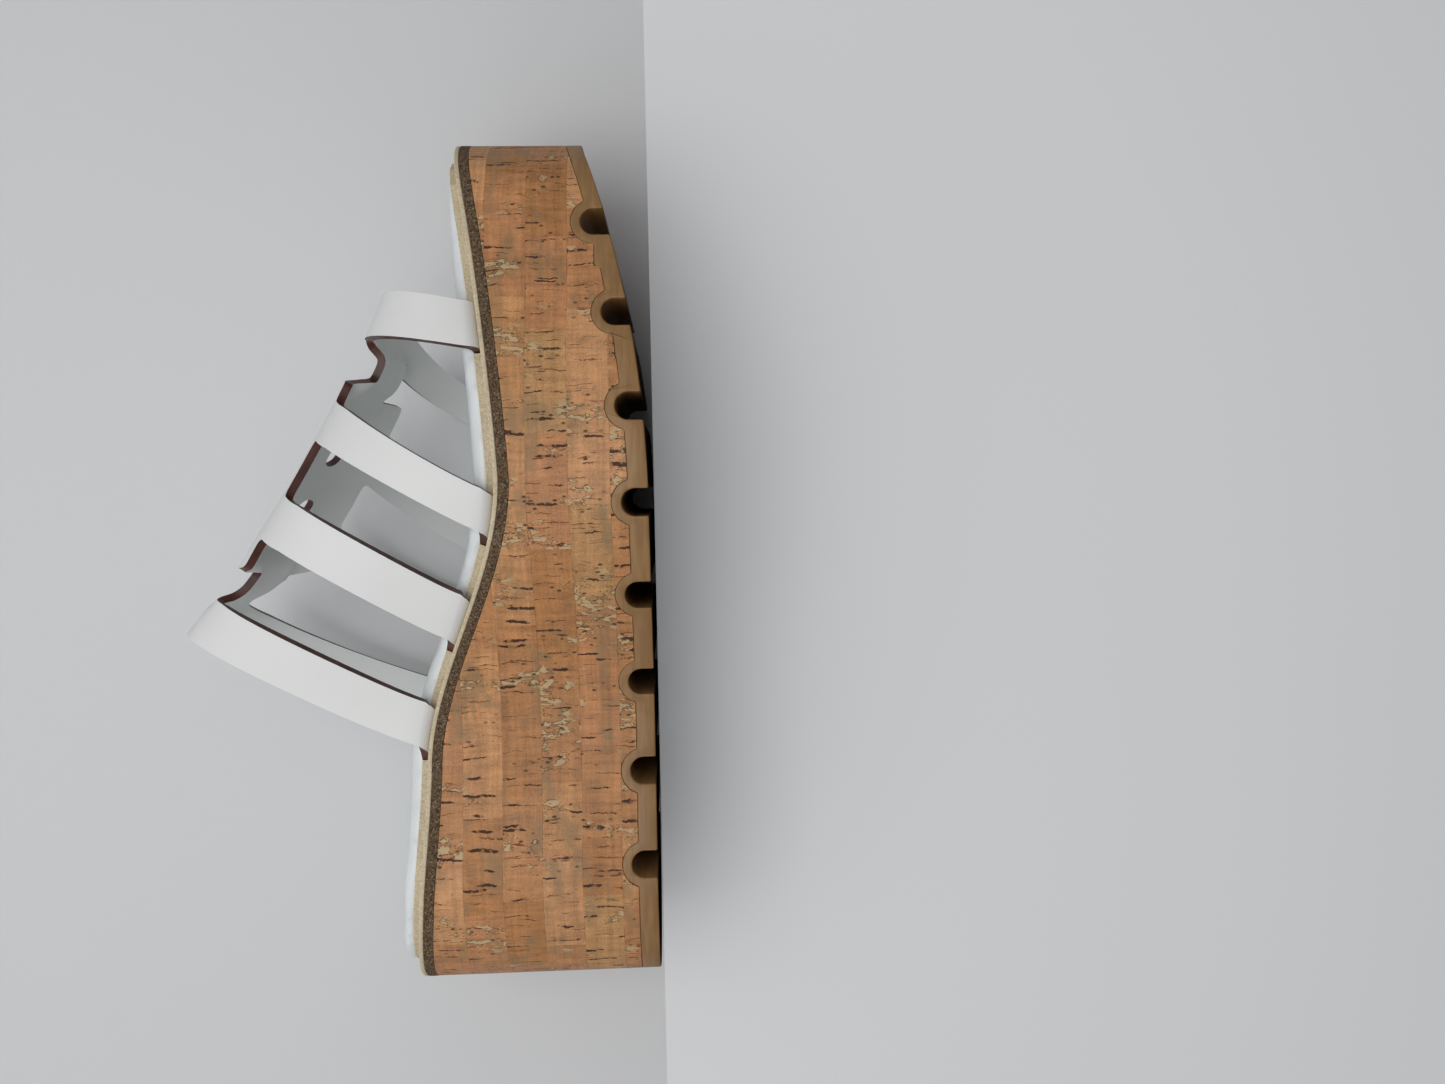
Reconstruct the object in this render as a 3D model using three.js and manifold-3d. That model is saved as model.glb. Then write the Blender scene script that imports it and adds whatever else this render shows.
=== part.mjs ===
// Left wedge sandal: a cork-wrapped platform wedge on a channelled rubber sole,
// with a padded footbed and a one-piece upper of four bands joined by a spine.
// Millimetres. +X is the toe, +Y the outer side of the foot, +Z up, sole on z = 0.

import * as THREE from 'three';
import { mergeVertices } from 'three/addons/utils/BufferGeometryUtils.js';
import Module from 'manifold-3d';

const wasm = await Module();
wasm.setup();

// ---- Driving dimensions: plan outline ----
const length = 256; // heel tip to toe tip
const heelWidth = 63;
const waistInner = 25; // centre line to the inner edge at the waist
const waistOuter = 37;
const ballInner = 44.5; // centre line to the inner edge at the ball
const ballOuter = 44.5;
const toeWidth = 65; // where the toe's round begins
const toeShift = 1; // the toe's middle lies this far to the outer side
const toeRound = 36; // length of the toe's round

// ---- Driving dimensions: side profile of the top board, above the ground ----
const heelHeight = 72.5;
const seatHeight = 66.5; // where the heel seat meets the arch
const ballHeight = 42; // lowest point, under the ball of the foot
const toeHeight = 56;
const toeSpring = 19.5; // how far the sole's tip stands off the ground
const toeLiftPower = 1.4; // how late the board rises from the ball to the toe
const heelLiftPower = 1.5; // and from the heel seat to the heel

// ---- Driving dimensions: layers ----
const soleThickness = 5.6;
const soleTipThickness = 4.4;
const grooveWidth = 7.7;
const grooveDepth = 7.5;
const grooveWall = 2.8; // rubber left over each groove
const groovePitch = 26.4;
const grooveHeelMargin = 42; // heel tip to the first groove's middle
const grooveToeMargin = 28; // least distance from the last groove to the toe tip
const wrapThickness = 1.2;
const midBoardThickness = 2.6;
const topBoardThickness = 1.3;
const fillerThickness = 2.2;
const foamThickness = 2.6;
const sockThickness = 1.1;
const leatherThickness = 1.25;
const liningThickness = 0.8;
const glueGap = 0.3; // between faces that are bonded on the real sandal

// ---- Driving dimensions: upper ----
const toeOpening = 30.2; // crest above the top board at the front band
const instepOpening = 86; // crest above the top board at the rear band
const crestBow = 0.34; // share of the crest's rise that comes late, towards the instep
const spineShift = 3.5; // the spine's middle lies this far to the outer side
const spineNarrow = 20;
const spineWide = 42;
const spineSag = 4; // dip of the crest where the spine is narrow
const spineSagReach = 7;
const spineSkew = 2; // the spine's steps lie this much further forward on the inner side
const spineStep = 2; // length over which the spine changes its width
const slotShift = 9; // the slots' middle lies this far to the outer side
const slotWidth = 8;
const slotLength = 15;
const tabLength = 10; // lasted under the footbed
const tabBend = 2; // radius of the turn, at the middle of the leather
const edgeInset = 0.1; // the bands' outer face inside the board's edge
const footbedInset = 3.4; // footbed edge inside the board's edge

// Stations are shares of the length from the heel tip, as on a graded last.
const bands = [
  { crest: 0.793, inner: 0.771, outer: 0.673, crestWidth: 12.9, innerWidth: 13, outerWidth: 11.5 },
  { crest: 0.678, inner: 0.573, outer: 0.506, crestWidth: 11.5, innerWidth: 11.4, outerWidth: 11.2 },
  { crest: 0.57, inner: 0.455, outer: 0.41, crestWidth: 12, innerWidth: 13, outerWidth: 12 },
  { crest: 0.45, inner: 0.328, outer: 0.304, crestWidth: 11.5, innerWidth: 13, outerWidth: 12.5 },
];
const innerSweep = 2.3; // how late the bands turn back on their way down
const outerSweep = 1.35;
const spineWideFront = 0.713;
const spineWideRear = 0.496;
const slotStations = [0.656, 0.557];
const ballStation = 0.605;
const seatStation = 0.277;
const rockerStation = 0.57;
const waistStation = 0.34;

// ---- Fineness of the curves ----
const outlineSteps = 56;
const profileSteps = 36;
const roundSteps = 6;
const archSteps = 7;
const sheetRows = 12; // lines across the length at which the upper can bend
const span = 70; // the flat pattern's half width, from the crest to the footbed edge
const archPower = 2.2; // squareness of the arch over the foot
const spare = 5; // how far cutting solids run past what they cut
const lineRoom = 1; // a profile's plain points stay this far from an arch, and a band's first
// stop this far beyond the spine
const settleRounds = 12; // rounds after which a band's corner on the spine no longer moves
const slopeStep = 0.05; // distance over which the upper's slope is measured
const mergeDistance = 1e-3; // corners nearer than this are one
const onLine = 1e-4; // and a corner nearer than this to a cutting line lies on it

// ---- Worked-out sizes ----
const halfLength = length / 2;
const heelRadius = heelWidth / 2;
const wrapClearance = wrapThickness + glueGap;
const boardStack = midBoardThickness + topBoardThickness + 2 * glueGap;
const upperThickness = leatherThickness + liningThickness + glueGap;
const fillerTop = glueGap + Math.max(fillerThickness, upperThickness);
const foamTop = fillerTop + glueGap + foamThickness;
const sockTop = foamTop + glueGap + sockThickness;
const bendLength = (tabBend * Math.PI) / 2;
const patternEnd = span + bendLength + tabLength;

function stationX(share) {
  return (share - 0.5) * length;
}

// ---- Side profile curves ----
function boardTop(x) {
  const ball = stationX(ballStation);
  const seat = stationX(seatStation);
  if (x > ball) {
    return ballHeight + (toeHeight - ballHeight) * ((x - ball) / (halfLength - ball)) ** toeLiftPower;
  }
  if (x > seat) {
    const t = (ball - x) / (ball - seat);
    return ballHeight + (seatHeight - ballHeight) * t * t * (3 - 2 * t);
  }
  const back = (seat - x) / (seat + halfLength);
  return seatHeight + (heelHeight - seatHeight) * back ** heelLiftPower;
}

// A rocker is an arc that leaves the flat sole at its station and rises by `rise` at the tip.
function rocker(x, rise) {
  const run = x - stationX(rockerStation);
  if (run <= 0) {
    return 0;
  }
  const reach = halfLength - stationX(rockerStation);
  const radius = (reach * reach + rise * rise) / (2 * rise);
  return radius - Math.sqrt(radius * radius - run * run);
}

function soleBottom(x) {
  return rocker(x, toeSpring);
}

function soleTop(x) {
  return soleThickness + rocker(x, toeSpring + soleTipThickness - soleThickness);
}

function grooveStations() {
  const room = length - grooveHeelMargin - grooveToeMargin;
  const count = Math.floor(room / groovePitch) + 1;
  return Array.from({ length: count }, (_, i) => grooveHeelMargin - halfLength + i * groovePitch);
}

// ---- Plan outline ----
function outlineCurve() {
  const points = [];
  for (let i = -2; i <= 2; i += 1) {
    const turn = (i * Math.PI) / 4;
    const x = heelRadius - halfLength - heelRadius * Math.cos(turn);
    points.push(new THREE.Vector3(x, -heelRadius * Math.sin(turn), 0));
  }
  points.push(new THREE.Vector3(stationX(waistStation), -waistInner, 0));
  points.push(new THREE.Vector3(stationX(ballStation), -ballInner, 0));
  const toeHalf = toeWidth / 2;
  for (let i = -2; i <= 2; i += 1) {
    const turn = (i * Math.PI) / 4;
    const x = halfLength - toeRound + toeRound * Math.cos(turn);
    points.push(new THREE.Vector3(x, toeShift + toeHalf * Math.sin(turn), 0));
  }
  points.push(new THREE.Vector3(stationX(rockerStation), ballOuter, 0));
  points.push(new THREE.Vector3(stationX(waistStation), waistOuter, 0));
  return new THREE.CatmullRomCurve3(points, true, 'centripetal');
}

const outline = outlineCurve().getSpacedPoints(outlineSteps).slice(0, outlineSteps);

function insetOutline(inset) {
  return outline.map((point, i) => {
    const before = outline[(i + outlineSteps - 1) % outlineSteps];
    const after = outline[(i + 1) % outlineSteps];
    const along = after.clone().sub(before).normalize();
    return new THREE.Vector2(point.x - along.y * inset, point.y + along.x * inset);
  });
}

// Half breadth of the outline at x on one side: -1 is the inner side, +1 the outer.
function edgeY(x, side) {
  let found = 0;
  outline.forEach((point, i) => {
    const next = outline[(i + 1) % outlineSteps];
    const crosses = (point.x - x) * (next.x - x) <= 0 && point.x !== next.x;
    const y = point.y + ((next.y - point.y) * (x - point.x)) / (next.x - point.x);
    if (crosses && y * side > found * side) {
      found = y;
    }
  });
  return found;
}

// ---- Solids ----
function toSolid(geometry) {
  const bare = geometry.clone();
  bare.deleteAttribute('normal');
  bare.deleteAttribute('uv');
  const merged = mergeVertices(bare, mergeDistance);
  const vertProperties = merged.attributes.position.array;
  const triVerts = new Uint32Array(merged.index.array);
  return new wasm.Manifold(new wasm.Mesh({ numProp: 3, vertProperties, triVerts }));
}

function toGeometry(solid) {
  const mesh = solid.getMesh();
  const geometry = new THREE.BufferGeometry();
  geometry.setAttribute('position', new THREE.BufferAttribute(mesh.vertProperties, 3));
  geometry.setIndex(new THREE.BufferAttribute(mesh.triVerts, 1));
  geometry.computeVertexNormals();
  return geometry;
}

function planSolid(inset) {
  const height = heelHeight + toeHeight;
  const shape = new THREE.Shape(insetOutline(inset));
  const geometry = new THREE.ExtrudeGeometry(shape, { depth: height, bevelEnabled: false });
  return toSolid(geometry.translate(0, 0, -spare));
}

// A closed side profile, given as points in X and Z, carried across the whole width.
function sideSolid(points) {
  const depth = 2 * Math.max(ballInner, ballOuter, waistOuter, heelRadius) + 2 * spare;
  const shape = new THREE.Shape(points);
  const geometry = new THREE.ExtrudeGeometry(shape, { depth, bevelEnabled: false });
  return toSolid(geometry.rotateX(Math.PI / 2).translate(0, depth / 2, 0));
}

function profilePoints(heightAt) {
  const reach = halfLength + spare;
  return Array.from({ length: profileSteps + 1 }, (_, i) => {
    const x = -reach + (2 * reach * i) / profileSteps;
    const inside = THREE.MathUtils.clamp(x, -halfLength, halfLength);
    return new THREE.Vector2(x, heightAt(inside));
  });
}

function slab(lower, upper) {
  const bottom = profilePoints((x) => boardTop(x) + lower);
  const top = profilePoints((x) => boardTop(x) + upper).reverse();
  return sideSolid([...bottom, ...top]);
}

function boardLayer(lower, upper, inset) {
  return planSolid(inset).intersect(slab(lower, upper));
}

// ---- Sole ----
// Arc over one groove, from its rear to its front, in X and Z.
function archOver(middle, base, radius, foot) {
  const start = foot > base ? Math.asin(Math.min(1, (foot - base) / radius)) : 0;
  return Array.from({ length: roundSteps + 1 }, (_, i) => {
    const turn = Math.PI - start - ((Math.PI - 2 * start) * i) / roundSteps;
    return new THREE.Vector2(middle + radius * Math.cos(turn), base + radius * Math.sin(turn));
  });
}

// The line of heightAt, broken by one arch at each groove.
function grooveLine(heightAt, radius, upright) {
  const points = [];
  const marks = grooveStations();
  let next = 0;
  profilePoints(heightAt).forEach((point) => {
    while (next < marks.length && point.x > marks[next] - radius - lineRoom) {
      const middle = marks[next];
      const base = soleBottom(middle) + grooveDepth - grooveWidth / 2;
      const arch = archOver(middle, base, radius, upright ? base : heightAt(middle));
      if (upright) {
        points.push(new THREE.Vector2(middle - radius, heightAt(middle - radius)));
      }
      points.push(...arch);
      if (upright) {
        points.push(new THREE.Vector2(middle + radius, heightAt(middle + radius)));
      }
      next += 1;
    }
    if (marks.every((middle) => Math.abs(point.x - middle) > radius + lineRoom)) {
      points.push(point);
    }
  });
  return points;
}

function outsole() {
  const bottom = grooveLine(soleBottom, grooveWidth / 2, true);
  const top = grooveLine(soleTop, grooveWidth / 2 + grooveWall, false).reverse();
  return planSolid(0).intersect(sideSolid([...bottom, ...top]));
}

// Everything between the sole and the boards.
function wedgeProfile() {
  const bump = grooveWidth / 2 + grooveWall + glueGap;
  const bottom = grooveLine((x) => soleTop(x) + glueGap, bump, false);
  const top = profilePoints((x) => boardTop(x) - boardStack).reverse();
  return sideSolid([...bottom, ...top]);
}

function wedgeCore() {
  return planSolid(wrapClearance).intersect(wedgeProfile());
}

function corkWrap() {
  return planSolid(0).subtract(planSolid(wrapThickness)).intersect(wedgeProfile());
}

// ---- Boards ----
function midBoard() {
  const upper = -topBoardThickness - glueGap;
  return boardLayer(upper - midBoardThickness, upper, 0);
}

function topBoard() {
  return boardLayer(-topBoardThickness, 0, 0);
}

// ---- Upper ----
function crestZ(x) {
  const front = stationX(bands[0].crest) + bands[0].crestWidth / 2;
  const rear = stationX(bands[3].crest) - bands[3].crestWidth / 2;
  const frontZ = boardTop(front) + toeOpening;
  const rearZ = boardTop(rear) + instepOpening;
  const t = (front - x) / (front - rear);
  const rise = (rearZ - frontZ) * ((1 - crestBow) * t + crestBow * t * t);
  const sags = [
    (stationX(spineWideFront) + stationX(bands[0].crest) - bands[0].crestWidth / 2) / 2,
    (stationX(spineWideRear) + stationX(bands[3].crest) + bands[3].crestWidth / 2) / 2,
  ];
  const sag = sags.reduce((sum, s) => sum + Math.exp(-(((x - s) / spineSagReach) ** 2)), 0);
  return frontZ + rise - spineSag * sag;
}

// Middle of the upper's leather at x, with `across` running from -span at the
// inner footbed edge, over the crest at 0, to +span at the outer one, and on
// into the tabs that turn in under the footbed.
function upperPoint(x, across) {
  const side = across < 0 ? -1 : 1;
  const foot = boardTop(x) + glueGap + upperThickness / 2 + tabBend;
  const edge = edgeY(x, side) - side * (edgeInset + upperThickness / 2);
  const past = Math.abs(across) - span;
  if (past <= 0) {
    const turn = (Math.PI / 2) * (1 - Math.abs(across) / span);
    const y = edge * Math.cos(turn) ** (2 / archPower);
    const z = foot + (crestZ(x) - foot) * Math.sin(turn) ** (2 / archPower);
    return new THREE.Vector3(x, y, z);
  }
  const turn = Math.min(past / tabBend, Math.PI / 2);
  const flat = Math.max(past - bendLength, 0);
  const y = edge - side * (tabBend * (1 - Math.cos(turn)) + flat);
  return new THREE.Vector3(x, y, foot - tabBend * Math.sin(turn));
}

function upperNormal(x, across) {
  const alongX = upperPoint(x + slopeStep, across).sub(upperPoint(x - slopeStep, across));
  const alongY = upperPoint(x, across + slopeStep).sub(upperPoint(x, across - slopeStep));
  return alongX.cross(alongY).normalize();
}

// `across` of a point that lies `distance` mm from the middle line on the arch at x.
function acrossAt(x, distance) {
  const side = distance < 0 ? -1 : 1;
  const half = Math.abs(edgeY(x, side)) - edgeInset - upperThickness / 2;
  const share = Math.min(Math.abs(distance) / half, 1) ** (archPower / 2);
  return side * span * (Math.asin(share) / (Math.PI / 2));
}

// Where the edge between two corners crosses the line on which `axis` equals `value`.
function crossing(a, b, axis, value) {
  const [low, high] = a[axis] < b[axis] ? [a, b] : [b, a];
  return low.clone().lerp(high, (value - low[axis]) / (high[axis] - low[axis]));
}

// The part of a triangle on one side of that line, as triangles.
function clip(corners, axis, value, side) {
  const reach = corners.map((corner) => {
    const distance = side * (corner[axis] - value);
    return Math.abs(distance) < onLine ? 0 : distance;
  });
  const kept = [];
  corners.forEach((corner, i) => {
    const next = (i + 1) % corners.length;
    if (reach[i] >= 0) {
      kept.push(corner);
    }
    if (reach[i] * reach[next] < 0) {
      kept.push(crossing(corner, corners[next], axis, value));
    }
  });
  const flat = reach.every((distance) => distance <= 0);
  return flat ? [] : kept.slice(2).map((corner, i) => [kept[0], kept[i + 1], corner]);
}

function cutTriangles(triangles, axis, values) {
  return values.reduce(
    (all, value) => all.flatMap((corners) => {
      const parts = [1, -1].flatMap((side) => clip(corners, axis, value, side));
      return parts.length ? parts : [corners];
    }),
    triangles,
  );
}

// Flat shapes that share edges, as one set of triangles in a grid fine enough to bend.
function gridTriangles(shapes) {
  const triangles = shapes.flatMap((shape) => {
    const flat = new THREE.ShapeGeometry(shape, roundSteps).toNonIndexed().attributes.position;
    return Array.from({ length: flat.count / 3 }, (_, i) => (
      [0, 1, 2].map((j) => new THREE.Vector3().fromBufferAttribute(flat, 3 * i + j))
    ));
  });
  const ribs = patternStops().flatMap((stop) => (stop > 0 ? [-stop, stop] : [0]));
  const rows = Array.from({ length: sheetRows }, (_, i) => stationX((i + 1) / (sheetRows + 1)));
  return cutTriangles(cutTriangles(triangles, 'y', ribs), 'x', rows);
}

// Flat shapes, in x and across, bent over the arch between two distances from the
// middle of the leather, with walls along the edges that only one triangle has.
function bentSheet(shapes, lower, upper) {
  const triangles = gridTriangles(shapes);
  const place = (corner, height) => upperPoint(corner.x, corner.y)
    .addScaledVector(upperNormal(corner.x, corner.y), height);
  const key = (corner) => `${corner.x},${corner.y}`;
  const edges = new Map();
  triangles.forEach((corners) => corners.forEach((from, i) => {
    const to = corners[(i + 1) % 3];
    edges.set(`${key(from)} ${key(to)}`, [from, to]);
  }));
  const points = [];
  triangles.forEach(([a, b, c]) => {
    points.push(place(a, upper), place(b, upper), place(c, upper));
    points.push(place(c, lower), place(b, lower), place(a, lower));
  });
  edges.forEach(([from, to]) => {
    if (!edges.has(`${key(to)} ${key(from)}`)) {
      points.push(place(from, lower), place(to, lower), place(to, upper));
      points.push(place(from, lower), place(to, upper), place(from, upper));
    }
  });
  return toSolid(new THREE.BufferGeometry().setFromPoints(points));
}

// x of a band's edge at `across`; end is +1 for its front edge and -1 for its rear.
function bandEdge(band, end, across) {
  const inner = across < 0;
  const crest = stationX(band.crest) + (end * band.crestWidth) / 2;
  const foot = inner
    ? stationX(band.inner) + (end * band.innerWidth) / 2
    : stationX(band.outer) + (end * band.outerWidth) / 2;
  const sweep = inner ? innerSweep : outerSweep;
  const share = Math.abs(across) / span;
  if (share <= 1) {
    return crest + (foot - crest) * share ** sweep;
  }
  return foot + (foot - crest) * sweep * (share - 1);
}

// Distances from the crest, in the flat pattern, at which it is cut to bend: evenly
// down the arch, three round the turn under the footbed, and the tab's end.
function patternStops() {
  const stops = Array.from({ length: archSteps }, (_, i) => (span * i) / archSteps);
  return [...stops, span, span + bendLength / 2, span + bendLength, patternEnd];
}

// A band between two pairs of edge points and all the stops beyond them, as quads.
function bandQuads(pairs) {
  return pairs.slice(1).map(([front, rear], i) => (
    new THREE.Shape([pairs[i][0], pairs[i][1], rear, front])
  ));
}

function edgePair(band, across, widen) {
  return [1, -1].map((end) => (
    new THREE.Vector2(bandEdge(band, end, across) + end * widen, across)
  ));
}

function spineEdge(x, side) {
  const shift = side < 0 ? spineSkew : -spineSkew;
  const wide = x < stationX(spineWideFront) + shift && x > stationX(spineWideRear) + shift;
  const width = wide ? spineWide : spineNarrow;
  return acrossAt(x, spineShift + (side * width) / 2);
}

// The spine's edge on one side between two bands, from the front one's rear edge back.
function spineRun(front, rear, side) {
  const start = meeting(front, -1, side);
  const stop = meeting(rear, 1, side);
  const shift = side < 0 ? spineSkew : -spineSkew;
  const points = [start];
  [spineWideFront, spineWideRear].forEach((share) => {
    const step = stationX(share) + shift;
    if (step < start.x && step > stop.x) {
      [step + spineStep / 2, step - spineStep / 2].forEach((x) => {
        points.push(new THREE.Vector2(x, spineEdge(x, side)));
      });
    }
  });
  points.push(stop);
  return points;
}

// Where a band's edge leaves the spine.
function meeting(band, end, side) {
  let across = 0;
  for (let i = 0; i < settleRounds; i += 1) {
    across = spineEdge(bandEdge(band, end, across), side);
  }
  return new THREE.Vector2(bandEdge(band, end, across), across);
}

// The part of a band on one side of the spine, out to its tab's end.
function armShapes(band, side) {
  const root = [meeting(band, 1, side), meeting(band, -1, side)];
  const near = Math.max(Math.abs(root[0].y), Math.abs(root[1].y)) + lineRoom;
  const stops = patternStops().filter((stop) => stop > near);
  return bandQuads([root, ...stops.map((stop) => edgePair(band, side * stop, 0))]);
}

// The spine, from the front band's front edge to the rear band's rear edge.
function spineShape() {
  const last = bands.length - 1;
  const sides = [-1, 1].map((side) => {
    const runs = bands.slice(1).map((band, i) => spineRun(bands[i], band, side));
    return [meeting(bands[0], 1, side), ...runs.flat(), meeting(bands[last], -1, side)];
  });
  const front = new THREE.Vector2(bandEdge(bands[0], 1, 0), 0);
  const rear = new THREE.Vector2(bandEdge(bands[last], -1, 0), 0);
  const shape = new THREE.Shape([front, ...sides[0], rear, ...sides[1].reverse()]);
  shape.holes = slotStations.map(slotHole);
  return shape;
}

function slotHole(share) {
  const x = stationX(share);
  const left = acrossAt(x, slotShift - slotWidth / 2);
  const right = acrossAt(x, slotShift + slotWidth / 2);
  const radius = (right - left) / 2;
  const hole = new THREE.Path();
  hole.absarc(x + slotLength / 2 - radius, (left + right) / 2, radius, -Math.PI / 2, Math.PI / 2);
  hole.absarc(x - slotLength / 2 + radius, (left + right) / 2, radius, Math.PI / 2, -Math.PI / 2);
  return hole;
}

function upperPattern() {
  const arms = bands.flatMap((band) => [-1, 1].flatMap((side) => armShapes(band, side)));
  return [spineShape(), ...arms];
}

function upperLeather() {
  return bentSheet(upperPattern(), upperThickness / 2 - leatherThickness, upperThickness / 2);
}

function upperLining() {
  return bentSheet(upperPattern(), -upperThickness / 2, liningThickness - upperThickness / 2);
}

// Room for every tab: the glue gap over and beside it, and all that lies under it.
function tabRoom() {
  const stops = [...patternStops().filter((stop) => stop >= span), patternEnd + glueGap];
  const reach = upperThickness / 2 + glueGap;
  const rooms = bands.flatMap((band) => [-1, 1].map((side) => {
    const quads = bandQuads(stops.map((stop) => edgePair(band, side * stop, glueGap)));
    return bentSheet(quads, -reach, reach + spare);
  }));
  return rooms.reduce((all, room) => all.add(room));
}

// ---- Footbed ----
// The sheet that is left when the crumbs at the corners of its cut-outs are dropped.
function mainBody(solid) {
  return solid.decompose().reduce((best, body) => (body.volume() > best.volume() ? body : best));
}

function footbedParts() {
  const rooms = tabRoom();
  const inset = footbedInset + sockThickness + glueGap;
  const filler = mainBody(boardLayer(glueGap, fillerTop, inset).subtract(rooms));
  const foam = boardLayer(fillerTop + glueGap, foamTop, inset).subtract(rooms);
  const cover = boardLayer(glueGap, sockTop, footbedInset);
  const hollow = boardLayer(-spare, sockTop - sockThickness, footbedInset + sockThickness);
  return { filler, foam, sock: mainBody(cover.subtract(hollow).subtract(rooms)) };
}

// ---- Assembly ----
function part(name, solid, color, roughness) {
  const material = new THREE.MeshStandardMaterial({ color, roughness, metalness: 0 });
  const mesh = new THREE.Mesh(toGeometry(solid), material);
  mesh.name = name;
  return mesh;
}

const footbed = footbedParts();
const group = new THREE.Group();
group.add(part('outsole', outsole(), 0x9c7440, 0.45));
group.add(part('wedge_core', wedgeCore(), 0xb08a62, 0.9));
group.add(part('cork_wrap', corkWrap(), 0xb27f57, 0.75));
group.add(part('midsole_board', midBoard(), 0x6e5641, 0.95));
group.add(part('insole_board', topBoard(), 0xcbb89a, 0.6));
group.add(part('strap_filler', footbed.filler, 0xd8cdb8, 0.9));
group.add(part('footbed_foam', footbed.foam, 0xe6dfc8, 0.95));
group.add(part('sock_lining', footbed.sock, 0xdfe3e4, 0.4));
group.add(part('upper_leather', upperLeather(), 0xe4e4e2, 0.45));
group.add(part('upper_lining', upperLining(), 0xbdbfbd, 0.6));

const box = new THREE.Box3().setFromObject(group);
const middle = box.getCenter(new THREE.Vector3());
group.position.set(-middle.x, -middle.y, -box.min.z);
group.updateMatrixWorld(true);

export default group;
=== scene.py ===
import math

import bmesh
import bpy
import numpy as np
from mathutils import Matrix, Vector, noise


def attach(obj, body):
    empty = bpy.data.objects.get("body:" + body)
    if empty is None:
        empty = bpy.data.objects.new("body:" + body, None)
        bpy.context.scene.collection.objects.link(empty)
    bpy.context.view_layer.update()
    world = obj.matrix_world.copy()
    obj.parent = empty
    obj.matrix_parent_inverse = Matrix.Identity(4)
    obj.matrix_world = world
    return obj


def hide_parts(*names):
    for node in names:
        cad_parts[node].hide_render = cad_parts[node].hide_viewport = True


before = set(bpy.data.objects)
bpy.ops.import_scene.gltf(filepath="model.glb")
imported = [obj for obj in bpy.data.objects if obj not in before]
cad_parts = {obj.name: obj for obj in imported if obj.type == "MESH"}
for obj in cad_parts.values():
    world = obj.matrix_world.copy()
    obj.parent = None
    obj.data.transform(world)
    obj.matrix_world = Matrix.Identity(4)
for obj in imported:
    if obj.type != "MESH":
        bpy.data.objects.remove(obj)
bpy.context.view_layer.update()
mm = 0.001
print("frame loaded:", len(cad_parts), "nodes")

# the last: plan outline and board line that every layer follows
last = {
    "length": 256 * mm, "heelWidth": 63 * mm, "waistInner": 25 * mm, "waistOuter": 37 * mm,
    "ballInner": 44.5 * mm, "ballOuter": 44.5 * mm, "toeWidth": 65 * mm, "toeShift": 1 * mm,
    "toeRound": 36 * mm, "waistStation": 0.34, "ballStation": 0.605, "seatStation": 0.277,
    "rockerStation": 0.57, "heelHeight": 72.5 * mm, "seatHeight": 66.5 * mm,
    "ballHeight": 42 * mm, "toeHeight": 56 * mm, "toeLiftPower": 1.4, "heelLiftPower": 1.5,
}
halfLength = last["length"] / 2


def stationX(share):
    return (share - 0.5) * last["length"]


def boardTop(x):  # height of the top board above the ground
    ball = stationX(last["ballStation"])
    seat = stationX(last["seatStation"])
    if x > ball:
        share = (x - ball) / (halfLength - ball)
        return last["ballHeight"] + (last["toeHeight"] - last["ballHeight"]) * share ** last["toeLiftPower"]
    if x > seat:
        share = (ball - x) / (ball - seat)
        rise = last["seatHeight"] - last["ballHeight"]
        return last["ballHeight"] + rise * share * share * (3 - 2 * share)
    share = (seat - x) / (seat + halfLength)
    return last["seatHeight"] + (last["heelHeight"] - last["seatHeight"]) * share ** last["heelLiftPower"]


def splineSpan(a, b, c, d, steps):  # centripetal Catmull-Rom from b to c
    gaps = [(q - p).length ** 0.5 for p, q in ((a, b), (b, c), (c, d))]
    tangentB = (b - a) / gaps[0] - (c - a) / (gaps[0] + gaps[1]) + (c - b) / gaps[1]
    tangentC = (c - b) / gaps[1] - (d - b) / (gaps[1] + gaps[2]) + (d - c) / gaps[2]
    tangentB *= gaps[1]
    tangentC *= gaps[1]
    places = []
    for i in range(steps):
        t = i / steps
        square, cube = t * t, t * t * t
        places.append(
            b * (2 * cube - 3 * square + 1) + tangentB * (cube - 2 * square + t)
            + c * (3 * square - 2 * cube) + tangentC * (cube - square)
        )
    return places


def outlinePlaces():  # fine closed outline, from the heel's outer side by the inner side to the toe
    heel = last["heelWidth"] / 2
    toe = last["toeWidth"] / 2
    turns = [i * math.pi / 4 for i in range(-2, 3)]
    corners = [Vector((heel - halfLength - heel * math.cos(t), -heel * math.sin(t))) for t in turns]
    corners.append(Vector((stationX(last["waistStation"]), -last["waistInner"])))
    corners.append(Vector((stationX(last["ballStation"]), -last["ballInner"])))
    for t in turns:
        x = halfLength - last["toeRound"] + last["toeRound"] * math.cos(t)
        corners.append(Vector((x, last["toeShift"] + toe * math.sin(t))))
    corners.append(Vector((stationX(last["rockerStation"]), last["ballOuter"])))
    corners.append(Vector((stationX(last["waistStation"]), last["waistOuter"])))
    count = len(corners)
    places = []
    for i in range(count):
        around = [corners[(i + j) % count] for j in (-1, 0, 1, 2)]
        places += splineSpan(*around, 80)
    return places


fineOutline = outlinePlaces()


def outlineLoop(count, inset=0.0):  # evenly spaced (x, y, distance along), moved inwards by inset
    closed = fineOutline + [fineOutline[0]]
    xs = np.array([p.x for p in closed])
    ys = np.array([p.y for p in closed])
    run = np.concatenate([[0], np.cumsum(np.hypot(np.diff(xs), np.diff(ys)))])
    marks = np.arange(count) * run[-1] / count
    x = np.interp(marks, run, xs)
    y = np.interp(marks, run, ys)
    alongX = np.roll(x, -1) - np.roll(x, 1)
    alongY = np.roll(y, -1) - np.roll(y, 1)
    size = np.hypot(alongX, alongY)
    return list(zip(x - alongY / size * inset, y + alongX / size * inset, marks))


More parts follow.
